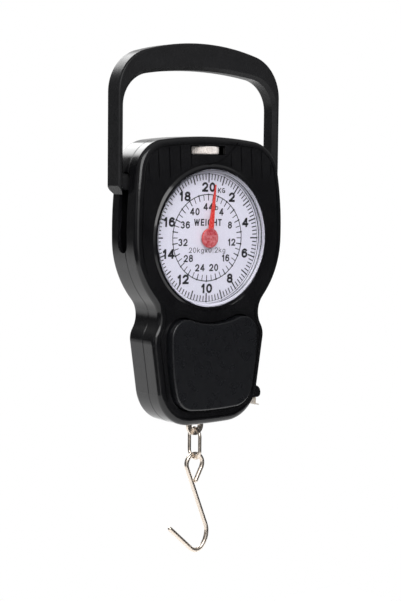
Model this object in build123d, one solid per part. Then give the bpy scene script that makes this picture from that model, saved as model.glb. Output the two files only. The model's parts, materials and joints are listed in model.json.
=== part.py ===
"""Hanging dial scale with a pull-out tape measure, as separate closed solids, one STEP file per sub-part.

Everything is drawn with the dial's axis on X = 0, Z = 0 and the dial plate's front face on Y = 0:
X runs to the right of the dial, Y from the dial to the back of the case, and Z up. save() then moves
each piece so that the origin is the point where a finger or a hook carries the handle.
"""
from build123d import *
from math import acos, atan2, cos, pi, radians, sin, sqrt, tan
import os

# ---- driving dimensions, in millimetres ----------------------------------------------------------
WALL = 2.0                    # moulded wall of the two shells
GAP = 0.3                     # clearance between pieces that move apart

# case, seen from the front
DIAL_END_R = 47.0             # the case's round lower shoulder, about the dial's axis
TOP_Z = 51.3                  # crown of the top edge
CORNER = (42.5, 47.2)         # where the side and the top edge would meet
CORNER_R = 18.0
SIDE_BULGE = (46.45, 19.5)    # a point on the slightly curved side
WAIST_CENTRE = (44.6, -39.1)  # centre of the hollow between the dial and the tape housing
HIP = (25.7, -50.9)           # centre of the round shoulder under the waist
HIP_R = 10.0
FOOT = (29.3, -94.2)          # where the tapering side and the bottom edge would meet
FOOT_R = 20.0
BOTTOM_Z = -95.2

# case, front to back
FACE_Y = -4.65                # flat front face
SHOULDER = 2.8                # rounding of the front edge
PARTING_Y = 5.5               # joint between the front and rear shells
BACK_Y = 18.4
BACK_ROUND = 2.5
SEAM = 0.3                    # bevel that makes the joint a visible line
GROOVE_W = 0.6                # upright grooves in the face
GROOVE_DEPTH = 0.8
EDGE_GROOVE = (3.3, 4.0)      # the groove along the face's rim, inward from the outline
EDGE_GROOVE_DEPTH = 0.7
CROWN_Z = 5.0                 # above this height the face falls back along a large radius
CROWN_R = 421.0

# dial window
OPENING_R = 34.9
BEZEL_Y = -5.38
BEZEL_TOP_R = 36.1
BEZEL_FOOT_R = 37.3
DIAL_R = 36.6
DIAL_SEAT_R = 37.5
DIAL_T = 0.6
LENS_R = 34.6
LENS_T = 1.4
LENS_WALL = 1.3
FLANGE_R = 37.2

# handle
HANDLE_OUT = 51.4             # half width outside
HANDLE_IN = 47.7              # half width inside
HANDLE_TOP = 98.0
HANDLE_OUT_SPRING = 87.75     # height at which the top arc reaches the outer sides
HANDLE_OUT_R = 22.0
GRIP_Z = 84.4                 # underside of the grip, where it is carried
HANDLE_IN_SPRING = 79.0
HANDLE_IN_R = 16.5
HANDLE_FRONT = 4.6
HANDLE_BACK = 15.0
HANDLE_ROUND = 1.2
HANDLE_TAPER = 1.9
LEG_END = 22.0
SLOT_FRONT = 3.7
SLOT_BACK = 11.3
SLOT_LOW = -7.0
SLOT_HIGH = 33.2
CATCH_LOW = 24.0              # the leg's inward catch that runs in the slot
CATCH_HIGH = 32.2
CATCH_IN = 40.4
NECK_FRONT = 6.3
NECK_BACK = 10.9

# measuring train
BAR_FRONT = 7.7               # load bar
BAR_BACK = 9.3
EYE_Z = -98.0
EYE_HOLE_R = 2.5
EYE_HALF = 5.0
YOKE_FRONT = 6.1
SPRING_Y = 6.9
SPRING_X = 13.0
SPRING_COIL_R = 3.15
SPRING_WIRE_R = 0.65
SPRING_PITCH = 1.4
SPRING_TURNS = 23
SPRING_TOP = 22.5
HOOK_LEG = 4.0
CROSSBAR = (34.0, 7.4)        # yoke and hanger, which hold the springs' ends
CROSSBAR_ROUND = 3.2
SPRING_HOLE_R = 1.4
WHEEL_Y = 6.5                 # zero-setting wheel, on the threaded hanger
WHEEL_R = 9.6
WHEEL_LOW = 42.4
WHEEL_WINDOW = ((-12.4, 9.2), (42.1, 46.6))   # opening in the face, in X and in Z
WHEEL_HIGH = 46.3
WHEEL_KNURLS = 48
BOLT_R = 2.0                  # the hanger's threaded stud
STUD_TOP = 47.4
BRACKET_LOW = 39.6
BRACKET_HIGH = 41.0

MODULE = 0.5
PINION_TEETH = 13
PRESSURE = radians(20)
RACK_ADDENDUM = 0.36
PINION_FRONT = 4.0
PINION_BACK = 6.6
RACK_FRONT = 4.5
RACK_BACK = YOKE_FRONT
RACK_HEEL_X = 6.2
RACK_Z = (-21.0, 25.0)
RIVET_X = 3.4
RIVET_Z = -17.4
RIVET_R = 0.9
RIVET_HEAD_R = 1.5
RIVET_HEAD_T = 0.6
SHAFT_R = 1.5
BORE_R = 1.55
POINTER_REST = 7.0            # degrees clockwise from the top of the dial
HUB_R = 5.0
POINTER_FRONT = -2.9
POINTER_TIP_R = 27.2
CHASSIS_FRONT = 1.6
CHASSIS_BACK = 2.8
CHASSIS_SIZE = (62.0, 52.0)

# link and hook
LINK_WIRE_R = 0.9
LINK_HALF = 4.45
LINK_TOP = -99.4
LINK_BOTTOM = -115.2
HOOK_WIRE_R = 1.18
HANG_Y = (BAR_FRONT + BAR_BACK) / 2
HOOK_EYE_R = 5.1
HOOK_RISE = 62.0              # direction of the wire's end towards the eye, in degrees
HOOK_TAIL = 7.6
HOOK_SHANK = -68.3
HOOK_SHANK_LENGTH = 33.4
HOOK_BEND_R = 11.0
HOOK_TIP_R = 5.0
HOOK_PRONG = 137.8
HOOK_PRONG_LENGTH = 18.4

# tape measure
SPOOL_Z = -65.3
CUP_R = 19.6
CUP_WALL = 1.0
CUP_PLATE = (6.5, 7.4)
CUP_RIM = 0.5                 # front edge of the cup wall, behind the pressed button
ARBOR_R = 6.0
ARBOR_BORE = 4.5
SPOOL_R = 18.0
DRUM_R = 12.0
WOUND_R = 14.4
TAPE_FRONT = 0.5
TAPE_BACK = 5.0
TAPE_T = 0.3
TAPE_X = 33.4
TAPE_PIN_R = 1.0
TAPE_BEND_R = 1.5
TAPE_PIN_Z = -80.1
LUG_X = (24.0, 36.3)
LUG_Z = (-84.8, -78.4)
LUG_Y = (-1.0, 7.0)
LUG_TOP_R = 4.0
LUG_LOW_R = 2.0
BUTTON_FRONT = -8.57
BUTTON_WALL = 1.6
BUTTON_GAP = 0.8
BUTTON_RIM = (-2.35, -1.35)
BUTTON_STROKE = 1.5
PLUNGER_R = 2.0
BRAKE_Y = (1.0, 1.9)          # the brake collar on the plunger
CLIP_T = 0.5
PAD_TOP = 40.3                # below the dial's axis
PAD_LOW = 87.3
SCALLOP_R = 43.4              # the pad's hollow top edge follows the dial

# case screws
SCREWS = [(33.0, 39.0), (27.0, -37.5), (21.6, -83.6)]
SCREW_SHANK_R = 1.25
SCREW_HEAD_R = 2.3
BOSS_R = 3.6


# ---- drawing helpers -----------------------------------------------------------------------------
def slab(profile, front, back):
    """A flat profile drawn in X and Z, given thickness from Y = front to Y = back."""
    plane = Plane((0, back, 0), x_dir=(1, 0, 0), z_dir=(0, -1, 0))
    return extrude(plane * profile, back - front)


def disc(radius, front, back, x=0.0, z=0.0):
    """A round plate or rod along Y."""
    return slab(Pos(x, z) * Circle(radius), front, back)


def ring(outer, inner, front, back, x=0.0, z=0.0):
    return slab(Pos(x, z) * (Circle(outer) - Circle(inner)), front, back)


def block(x_range, y_range, z_range):
    """A box between two limits on each axis."""
    size = [high - low for low, high in (x_range, y_range, z_range)]
    centre = [(high + low) / 2 for low, high in (x_range, y_range, z_range)]
    return Pos(*centre) * Box(*size)


def both_sides(shape):
    return shape + mirror(shape, about=Plane.YZ)


def one_solid(shape):
    """The single solid of a result, out of any list or compound that holds it."""
    return Compound(children=[shape]).solids()[0] if isinstance(shape, Solid) else shape.solids()[0]


def wire_rod(radius, path):
    """Round wire bent along a smooth path."""
    section = Plane(path @ 0, z_dir=path % 0) * Circle(radius)
    return sweep(section, path=path)


def turned(points):
    """A solid of revolution about the dial's axis, from (radius, Y) points."""
    outline = make_face(Polyline(*[(r, y, 0) for r, y in points], close=True))
    return revolve(outline, Axis.Y, 360)


def save(name, shape):
    """Moves a piece so that the origin is the carrying point of the grip, and writes it."""
    carried = Pos(0, -(HANDLE_FRONT + HANDLE_BACK) / 2, -GRIP_Z) * shape
    export_step(Compound(children=list(carried.solids())), f"parts/{name}.step")


# ---- case outline --------------------------------------------------------------------------------
def arc_about(centre, start, end):
    """The shorter arc about a centre from one point to another."""
    radius = sqrt((start[0] - centre[0]) ** 2 + (start[1] - centre[1]) ** 2)
    mid = ((start[0] + end[0]) / 2 - centre[0], (start[1] + end[1]) / 2 - centre[1])
    reach = radius / sqrt(mid[0] ** 2 + mid[1] ** 2)
    return ThreePointArc(start, (centre[0] + mid[0] * reach, centre[1] + mid[1] * reach), end)


def toward(start, end, distance):
    """The point at a distance from start, in the direction of end."""
    length = sqrt((end[0] - start[0]) ** 2 + (end[1] - start[1]) ** 2)
    return (start[0] + (end[0] - start[0]) * distance / length,
            start[1] + (end[1] - start[1]) * distance / length)


def side_leaves_hip():
    """Where the straight side through FOOT touches the round shoulder under the waist."""
    run = (FOOT[0] - HIP[0], FOOT[1] - HIP[1])
    length = sqrt(run[0] ** 2 + run[1] ** 2)
    angle = atan2(run[1], run[0]) + acos(HIP_R / length)
    return (HIP[0] + HIP_R * cos(angle), HIP[1] + HIP_R * sin(angle))


def case_outline():
    """The front view of the case: a round dial end, a waist and a smaller tape end."""
    dial = (0.0, 0.0)
    into_waist = toward(dial, WAIST_CENTRE, DIAL_END_R)
    out_of_waist = toward(HIP, WAIST_CENTRE, HIP_R)
    off_hip = side_leaves_hip()
    half = [
        ThreePointArc((0, TOP_Z), (CORNER[0] / 2, TOP_Z - (TOP_Z - CORNER[1]) / 4), CORNER),
        ThreePointArc(CORNER, SIDE_BULGE, (DIAL_END_R, 0)),
        arc_about(dial, (DIAL_END_R, 0), into_waist),
        arc_about(WAIST_CENTRE, into_waist, out_of_waist),
        arc_about(HIP, out_of_waist, off_hip),
        Line(off_hip, FOOT),
        ThreePointArc(FOOT, (FOOT[0] / 2, BOTTOM_Z + (FOOT[1] - BOTTOM_Z) / 4), (0, BOTTOM_Z)),
        Line((0, BOTTOM_Z), (0, TOP_Z)),
    ]
    right = make_face(Wire(half))
    sharp = right + mirror(right, about=Plane.YZ)
    corners = [v for v in sharp.vertices() if abs(abs(v.X) - CORNER[0]) < 0.1 and v.Y > 0]
    rounded = fillet(corners, CORNER_R)
    feet = [v for v in rounded.vertices() if abs(abs(v.X) - FOOT[0]) < 0.1 and v.Y < 0]
    return fillet(feet, FOOT_R)


def shrunk(outline, distance):
    return offset(outline, -distance)


def behind_face(depth):
    """Everything more than a depth behind the front face, which falls back towards the top."""
    front = FACE_Y + depth
    top = 70.0
    drop = CROWN_R - sqrt(CROWN_R ** 2 - (top - CROWN_Z) ** 2)
    half_drop = CROWN_R - sqrt(CROWN_R ** 2 - ((top - CROWN_Z) / 2) ** 2)
    edges = [
        Line((front, -110), (front, CROWN_Z)),
        ThreePointArc((front, CROWN_Z), (front + half_drop, (top + CROWN_Z) / 2), (front + drop, top)),
        Line((front + drop, top), (40, top)),
        Line((40, top), (40, -110)),
        Line((40, -110), (front, -110)),
    ]
    return extrude(Plane.YZ * make_face(Wire(edges)), 70, both=True)


# ---- shells --------------------------------------------------------------------------------------
def case_slots():
    """The slots in both sides that the handle's catches run in."""
    middle = (SLOT_FRONT + SLOT_BACK) / 2
    slot = SlotOverall(SLOT_HIGH - SLOT_LOW, SLOT_BACK - SLOT_FRONT, rotation=90)
    side = Plane((38, middle, (SLOT_HIGH + SLOT_LOW) / 2), x_dir=(0, 1, 0), z_dir=(1, 0, 0))
    return both_sides(extrude(side * slot, 14))


def pad_outline(grow=0.0):
    """The tape button: square with round corners, its top edge hollowed to follow the dial."""
    half = [
        Line((0, -PAD_TOP), (26.9, -PAD_TOP)),
        ThreePointArc((26.9, -PAD_TOP), (26.7, -63.0), (21.9, -86.0)),
        ThreePointArc((21.9, -86.0), (11.0, -87.0), (0, -PAD_LOW)),
        Line((0, -PAD_LOW), (0, -PAD_TOP)),
    ]
    right = make_face(Wire(half))
    block_shape = right + mirror(right, about=Plane.YZ)
    top = [v for v in block_shape.vertices() if abs(v.X) > 20 and v.Y > -50]
    rounded = fillet(top, 9.0)
    low = [v for v in rounded.vertices() if abs(v.X) > 20 and v.Y < -80]
    rounded = fillet(low, 11.0)
    hollowed = rounded - Circle(SCALLOP_R)
    tips = [v for v in hollowed.vertices() if abs(v.Y + PAD_TOP) < 0.05 and 10 < abs(v.X) < 17]
    smooth = fillet(tips, 6.0)
    return offset(smooth, grow) if grow else smooth


def face_grooves():
    """The upright grooves above the dial, and the sweeping line across them."""
    half = GROOVE_W / 2
    cuts = None
    spans = {12.75: (36.2, 46.6), 19.5: (33.9, 46.6), 26.2: (30.4, 45.4), 32.9: (30.4, 44.0),
             39.0: (32.3, 37.4)}
    for x, (low, high) in spans.items():
        left = block((-x - half, -x + half), (-8, 0), (low, high))
        right_top = 42.6 if x < 13 else high
        right = block((x - half, x + half), (-8, 0), (low, right_top))
        cuts = left + right if cuts is None else cuts + left + right
    sweep_line = Spline((-4.0, 37.25), (5.6, 39.0), (11.2, 42.6), (17.6, 48.4), tangents=((1, 0.08), (1, 1)))
    line = trace(sweep_line, GROOVE_W)
    return cuts + slab(line, -8, 0)


def lug(front, back):
    """The tape mouth's hood, low on the right side."""
    centre = Pos((LUG_X[0] + LUG_X[1]) / 2, (LUG_Z[0] + LUG_Z[1]) / 2)
    outline = centre * Rectangle(LUG_X[1] - LUG_X[0], LUG_Z[1] - LUG_Z[0])
    outline = fillet(outline.vertices().sort_by(lambda v: v.X + v.Y)[-1], LUG_TOP_R)
    outline = fillet(outline.vertices().sort_by(lambda v: v.X - v.Y)[-1], LUG_LOW_R)
    return slab(outline, front, back)


def tape_way():
    """The channel that the tape runs through, from the cup to the mouth."""
    start, bend_in = tape_line()
    path = trace(Line(toward(start, bend_in, 13.0), bend_in), 3.4)
    elbow = Pos(TAPE_X - TAPE_BEND_R, TAPE_PIN_Z) * Circle(3.2)
    drop = Pos(TAPE_X - 0.7, -84) * Rectangle(3.2, 8.0)
    return slab(path + elbow + drop, TAPE_FRONT - 0.5, TAPE_BACK + 0.5)


def screw_places():
    return [(side * x, z) for x, z in SCREWS for side in (-1, 1)]


def front_shell():
    outline = case_outline()
    blank = slab(outline, -12, PARTING_Y) & behind_face(0)
    front_edges = [e for e in blank.edges() if e.center().Y < PARTING_Y - 0.5 and on_front_rim(e)]
    blank = fillet(front_edges, SHOULDER)
    blank = chamfer(seam_edges(blank), SEAM)
    inner = shrunk(outline, WALL)
    cavity = slab(inner, -12, PARTING_Y) & behind_face(WALL)
    shell = blank + (lug(LUG_Y[0], PARTING_Y) - slab(inner, -12, PARTING_Y)) - cavity
    bezel = turned([(OPENING_R, BEZEL_Y), (BEZEL_TOP_R, BEZEL_Y), (BEZEL_FOOT_R, FACE_Y + 0.3),
                    (BEZEL_FOOT_R, FACE_Y + WALL), (OPENING_R, FACE_Y + WALL)])
    shell = shell + bezel
    for x, z in screw_places():
        shell += ring(BOSS_R - 0.3, SCREW_SHANK_R + 0.03, FACE_Y + WALL, PARTING_Y, x, z)
    edge_groove = slab(shrunk(outline, EDGE_GROOVE[0]) - shrunk(outline, EDGE_GROOVE[1]), -12, 0)
    shell -= edge_groove - behind_face(EDGE_GROOVE_DEPTH)
    shell -= face_grooves() - behind_face(GROOVE_DEPTH)
    shell -= disc(OPENING_R, -12, 0)
    shell -= disc(DIAL_SEAT_R, FACE_Y + WALL, 0)
    shell -= block(WHEEL_WINDOW[0], (-8, 0), WHEEL_WINDOW[1])
    # the pad goes in with the button, so the posts under it are cut back past its deepest place
    shell -= slab(pad_outline(BUTTON_GAP), -12, BUTTON_RIM[1] + BUTTON_STROKE + 0.25)
    shell -= case_slots()
    shell -= tape_way()
    shell -= disc(TAPE_PIN_R + 0.01, LUG_Y[0] + 0.5, PARTING_Y, TAPE_X - TAPE_BEND_R, TAPE_PIN_Z)
    return one_solid(shell)


def seam_edges(blank):
    """The outline edges of a shell's blank at the joint."""
    return [e for e in blank.edges() if all(abs(v.Y - PARTING_Y) < 0.01 for v in e.vertices())]


def on_front_rim(edge):
    """True for the edges between the front face and the side wall."""
    middle = edge.position_at(0.5)
    face_y = FACE_Y
    if middle.Z > CROWN_Z:
        face_y += CROWN_R - sqrt(CROWN_R ** 2 - (middle.Z - CROWN_Z) ** 2)
    inside = abs(middle.X) < 30 and abs(middle.Z - CROWN_Z) < 0.01
    return abs(middle.Y - face_y) < 0.05 and not inside


def rear_shell():
    outline = case_outline()
    blank = slab(outline, PARTING_Y, BACK_Y)
    blank = fillet(blank.faces().sort_by(Axis.Y)[-1].edges(), BACK_ROUND)
    blank = chamfer(seam_edges(blank), SEAM)
    cavity = slab(shrunk(outline, WALL), PARTING_Y, BACK_Y - WALL)
    shell = blank + (lug(PARTING_Y, LUG_Y[1]) - slab(shrunk(outline, WALL), 0, BACK_Y)) - cavity
    inside_back = BACK_Y - WALL
    for x, z in screw_places():
        shell += disc(BOSS_R, PARTING_Y, inside_back, x, z)
        shell -= disc(SCREW_SHANK_R + 0.35, 0, BACK_Y, x, z)
        shell -= disc(SCREW_HEAD_R + 0.3, 10.0, BACK_Y, x, z)
    for x, z in chassis_posts():
        shell += ring(3.0, 1.1, CHASSIS_BACK, inside_back, x, z)
    for x, z in cup_posts():
        shell += ring(2.6, 0.95, CUP_PLATE[1], inside_back, x, z)
    shell += ring(4.5, 2.5, 12.4, inside_back)
    for x, z in bracket_posts():
        shell += disc(2.6, 12.2, inside_back, x, z) - disc(1.0, 12.2, inside_back, x, z)
    shell -= case_slots()
    shell -= block((-EYE_HALF - 0.5, EYE_HALF + 0.5), (BAR_FRONT - 0.5, BAR_BACK + 0.5), (-100, -90))
    shell -= disc(TAPE_PIN_R + 0.01, PARTING_Y, LUG_Y[1] - 0.5, TAPE_X - TAPE_BEND_R, TAPE_PIN_Z)
    return one_solid(shell)


def case_screws():
    """Six self-tapping screws that enter from the back."""
    screw = disc(SCREW_SHANK_R, 0.5, 10.0) + disc(SCREW_HEAD_R, 10.0, 11.8)
    screw -= block((-1.9, 1.9), (11.0, 12), (-0.35, 0.35)) + block((-0.35, 0.35), (11.0, 12), (-1.9, 1.9))
    return Compound(children=[one_solid(Pos(x, 0, z) * screw) for x, z in screw_places()])


# ---- dial and lens -------------------------------------------------------------------------------
def lens():
    """A clear cup: a flat front, a round wall down to the dial, and a flange behind the face."""
    front = FACE_Y - 0.35
    inner = LENS_R - LENS_WALL
    flange = FACE_Y + WALL + 0.05
    return turned([(0, front), (LENS_R - 0.4, front), (LENS_R, front + 0.4), (LENS_R, flange),
                   (FLANGE_R, flange), (FLANGE_R, flange + 1.1), (LENS_R, flange + 1.1), (LENS_R, -0.05),
                   (inner, -0.05), (inner, front + LENS_T), (0, front + LENS_T)])


def dial_plate():
    return ring(DIAL_R, SHAFT_R + 0.8, 0, DIAL_T)


def dial_spacer():
    return ring(DIAL_R - 1.0, DIAL_R - 4.5, DIAL_T, CHASSIS_FRONT)


def chassis_posts():
    return [(side * 22.0, z) for z in (-19.0, 19.0) for side in (-1, 1)]


def chassis():
    """The steel plate behind the dial that carries the pointer shaft's front bearing."""
    plate = fillet(Rectangle(*CHASSIS_SIZE).vertices(), 5)
    plate -= Circle(2.5)
    for x, z in chassis_posts():
        plate -= Pos(x, z) * Circle(1.3)
    plate -= Pos(0, 20) * SlotOverall(16, 5)
    return slab(plate, CHASSIS_FRONT, CHASSIS_BACK)


def chassis_screws():
    # the heads sit in the spacer's open middle, so they are low
    screws = [disc(1.05, CHASSIS_FRONT, 9.0, x, z) + disc(2.2, 0.75, CHASSIS_FRONT, x, z)
              for x, z in chassis_posts()]
    return Compound(children=[one_solid(s) for s in screws])


def front_bush():
    return turned([(BORE_R, 0.8), (2.5, 0.8), (2.5, CHASSIS_BACK), (3.6, CHASSIS_BACK), (3.6, 3.5),
                   (BORE_R, 3.5)])


def rear_bush():
    return ring(2.5, BORE_R, 12.4, 15.9)


def rack_guide():
    """A post on the chassis that keeps the rack against the pinion."""
    return disc(1.2, CHASSIS_BACK, 8.2, RACK_HEEL_X + 0.1 + 1.2, 0)


# ---- pointer and its gear ------------------------------------------------------------------------
def pitch_radius():
    return MODULE * PINION_TEETH / 2


def involute_flank(base, tip, steps=6):
    """Points (radius, angle) on an involute from the base circle to the tip circle."""
    points = []
    for i in range(steps + 1):
        radius = base + (tip - base) * i / steps
        roll = sqrt(max((radius / base) ** 2 - 1, 0))
        points.append((radius, roll - atan2(roll, 1)))
    return points


def pinion():
    """Involute pinion; a gap between two of its teeth faces +X, where the rack is."""
    pitch = pitch_radius()
    base = pitch * cos(PRESSURE)
    tip = pitch + 0.9 * MODULE
    root = pitch - 1.2 * MODULE
    flank = involute_flank(base, tip)
    at_pitch = tan(PRESSURE) - PRESSURE
    half_tooth = (pi / 2 - 0.09) / PINION_TEETH
    points = []
    for tooth in range(PINION_TEETH):
        middle = 2 * pi * (tooth + 0.5) / PINION_TEETH
        lower = [(r, middle - half_tooth - at_pitch + a) for r, a in flank]
        upper = [(r, middle + half_tooth + at_pitch - a) for r, a in reversed(flank)]
        for r, a in [(root, lower[0][1])] + lower + upper + [(root, upper[-1][1])]:
            points.append((r * cos(a), r * sin(a)))
    gear = make_face(Polyline(*points, close=True)) - Circle(SHAFT_R)
    return slab(gear, PINION_FRONT, PINION_BACK)


def pointer_shaft():
    return disc(SHAFT_R, POINTER_FRONT + 0.5, 15.7)


def pointer():
    """A tapering needle with a round hub, pressed on the shaft."""
    turn = radians(90 - POINTER_REST)
    along, across = (cos(turn), sin(turn)), (-sin(turn), cos(turn))

    def place(reach, half):
        return (along[0] * reach + across[0] * half, along[1] * reach + across[1] * half)

    needle = make_face(Polyline(place(0, 1.9), place(POINTER_TIP_R, 0.22), place(POINTER_TIP_R, -0.22),
                                place(0, -1.9), close=True))
    blade = slab(needle + Circle(HUB_R - 0.3), POINTER_FRONT + 0.5, POINTER_FRONT + 1.1)
    hub = turned([(0, POINTER_FRONT), (HUB_R - 0.4, POINTER_FRONT), (HUB_R, POINTER_FRONT + 0.4),
                  (HUB_R, POINTER_FRONT + 1.4), (0, POINTER_FRONT + 1.4)])
    return one_solid(blade + hub - disc(SHAFT_R, POINTER_FRONT + 0.5, 3))


# ---- rack, yoke and load bar ---------------------------------------------------------------------
def rack():
    """The toothed strip beside the pinion; a tooth faces the pinion's gap at rest."""
    pitch = pitch_radius()
    step = pi * MODULE
    crest_x = pitch - RACK_ADDENDUM
    root_x = pitch + 1.25 * MODULE
    half_crest = step / 4 - RACK_ADDENDUM * tan(PRESSURE) - 0.04
    half_root = step / 4 + (root_x - pitch) * tan(PRESSURE) - 0.04
    low, high = RACK_Z
    points = [(RACK_HEEL_X, low), (-6.0, low), (-6.0, -13.6), (root_x, -8.0)]
    tooth = -3
    while tooth * step + half_root < high - 0.5:
        z = tooth * step
        points += [(root_x, z - half_root), (crest_x, z - half_crest), (crest_x, z + half_crest),
                   (root_x, z + half_root)]
        tooth += 1
    points += [(root_x, high), (RACK_HEEL_X, high)]
    strip = make_face(Polyline(*points, close=True))
    for x in (-RIVET_X, RIVET_X):
        strip -= Pos(x, RIVET_Z) * Circle(RIVET_R)
    return slab(strip, RACK_FRONT, RACK_BACK)


def spring_eye_z():
    """Height of the yoke's holes, under the springs' lower hooks."""
    return SPRING_TOP - SPRING_TURNS * SPRING_PITCH - HOOK_LEG - SPRING_COIL_R - 0.4


def yoke():
    """The crossbar that both springs pull up, riveted to the load bar."""
    z = spring_eye_z()
    plate = Pos(0, z - 0.2) * fillet(Rectangle(*CROSSBAR).vertices(), CROSSBAR_ROUND)
    for side in (-1, 1):
        plate -= Pos(side * SPRING_X, z) * Circle(SPRING_HOLE_R)
        plate -= Pos(side * RIVET_X, RIVET_Z) * Circle(RIVET_R)
    return slab(plate, YOKE_FRONT, BAR_FRONT)


def load_bar():
    """The flat steel bar from the yoke, behind the tape, to the eye under the case."""
    head = Pos(0, -17.6) * fillet(Rectangle(16, 7.0).vertices(), 2.0)
    stem = Pos(0, (EYE_Z - 17.6) / 2) * Rectangle(2 * EYE_HALF, -EYE_Z - 17.6)
    bar = head + stem + Pos(0, EYE_Z) * Circle(EYE_HALF)
    bar -= Pos(0, EYE_Z) * Circle(EYE_HOLE_R)
    for x in (-RIVET_X, RIVET_X):
        bar -= Pos(x, RIVET_Z) * Circle(RIVET_R)
    return slab(bar, BAR_FRONT, BAR_BACK)


def yoke_rivets():
    """Two rivets through the rack, the yoke and the load bar."""
    rivets = []
    for x in (-RIVET_X, RIVET_X):
        rivet = disc(RIVET_R, RACK_FRONT, BAR_BACK, x, RIVET_Z)
        rivet += disc(RIVET_HEAD_R, RACK_FRONT - RIVET_HEAD_T, RACK_FRONT, x, RIVET_Z)
        rivet += disc(RIVET_HEAD_R, BAR_BACK, BAR_BACK + RIVET_HEAD_T, x, RIVET_Z)
        rivets.append(one_solid(rivet))
    return Compound(children=rivets)


def spring_hook(z, way):
    """A spring's end hook: up from the coil, over and a little down. way is 1 at the top, -1 below."""
    bend = z + way * HOOK_LEG
    back, front = SPRING_Y + SPRING_COIL_R, SPRING_Y - SPRING_COIL_R
    path = Wire([
        Line((0, back, z), (0, back, bend)),
        ThreePointArc((0, back, bend), (0, SPRING_Y, bend + way * SPRING_COIL_R), (0, front, bend)),
        Line((0, front, bend), (0, front, bend - way * 1.6)),
    ])
    return wire_rod(SPRING_WIRE_R, path)


def load_spring():
    """A close-wound extension spring with a hook at each end, on X = 0."""
    length = SPRING_TURNS * SPRING_PITCH
    bottom = SPRING_TOP - length
    coil_path = Helix(pitch=SPRING_PITCH, height=length, radius=SPRING_COIL_R)
    section = Plane(coil_path @ 0, z_dir=coil_path % 0) * Circle(SPRING_WIRE_R)
    coil = Pos(0, SPRING_Y, bottom) * Rot(0, 0, 90) * sweep(section, path=coil_path, is_frenet=True)
    spring = coil
    for z, way in ((SPRING_TOP, 1), (bottom, -1)):
        joint = Pos(0, SPRING_Y + SPRING_COIL_R, z) * Sphere(SPRING_WIRE_R * 1.02)
        spring = spring + joint + spring_hook(z, way)
    return one_solid(spring)


# ---- zero setting --------------------------------------------------------------------------------
def hanger_eye_z():
    return SPRING_TOP + HOOK_LEG + SPRING_COIL_R + 0.4


def hanger():
    """A crossbar that holds both springs, with the threaded stud above it."""
    z = hanger_eye_z()
    plate = Pos(0, z + 0.2) * fillet(Rectangle(*CROSSBAR).vertices(), CROSSBAR_ROUND)
    for side in (-1, 1):
        plate -= Pos(side * SPRING_X, z) * Circle(SPRING_HOLE_R)
    bar = slab(plate, SPRING_Y - 0.8, SPRING_Y + 0.8)
    stud = Pos(0, WHEEL_Y, (z + STUD_TOP) / 2) * Cylinder(BOLT_R, STUD_TOP - z)
    boss = Pos(0, WHEEL_Y, z + 4.4) * Cylinder(BOLT_R + 1.2, 2.6)
    stud = chamfer(stud.faces().sort_by(Axis.Z)[-1].edges(), 0.4)
    return one_solid(bar + stud + boss)


def zero_wheel():
    """The knurled nut that lifts the hanger; its edge shows in the window above the dial."""
    height = WHEEL_HIGH - WHEEL_LOW
    body = Cylinder(WHEEL_R, height)
    body = chamfer(body.edges(), 0.35)
    notch = Cylinder(0.24, height + 1)
    for i in range(WHEEL_KNURLS):
        angle = 2 * pi * i / WHEEL_KNURLS
        body -= Pos((WHEEL_R + 0.02) * cos(angle), (WHEEL_R + 0.02) * sin(angle), 0) * notch
    foot_height = WHEEL_LOW - BRACKET_HIGH - 0.2
    foot = Pos(0, 0, -(height + foot_height) / 2) * Cylinder(4.0, foot_height)
    wheel = body + foot - Cylinder(BOLT_R + 0.05, 3 * height)
    return one_solid(Pos(0, WHEEL_Y, (WHEEL_LOW + WHEEL_HIGH) / 2) * wheel)


def bracket_posts():
    return [(-9.0, 35.0), (9.0, 35.0)]


def zero_bracket():
    """The bent steel bracket under the zero wheel, screwed to the rear shell."""
    shelf = block((-13, 13), (0.9, 12.2), (BRACKET_LOW, BRACKET_HIGH))
    back = block((-13, 13), (10.8, 12.2), (31.0, BRACKET_HIGH))
    bracket = shelf + back - Pos(0, WHEEL_Y, 40) * Cylinder(BOLT_R + 0.3, 10)
    for x, z in bracket_posts():
        bracket -= disc(1.2, 8, 14, x, z)
    return one_solid(bracket)


def bracket_screws():
    screws = [disc(0.95, 10.8, 15.8, x, z) + disc(1.9, 9.6, 10.8, x, z) for x, z in bracket_posts()]
    return Compound(children=[one_solid(s) for s in screws])


# ---- handle, link and hook -----------------------------------------------------------------------
def handle_outline(half, low, spring, top, radius):
    """One closed loop of the handle: straight legs, round corners and a crowned top."""
    edges = [
        Line((-half, low), (-half, spring)),
        ThreePointArc((-half, spring), (0, top), (half, spring)),
        Line((half, spring), (half, low)),
        Line((half, low), (-half, low)),
    ]
    loop = make_face(Wire(edges))
    corners = [v for v in loop.vertices() if v.Y > low + 1]
    return fillet(corners, radius)


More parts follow.
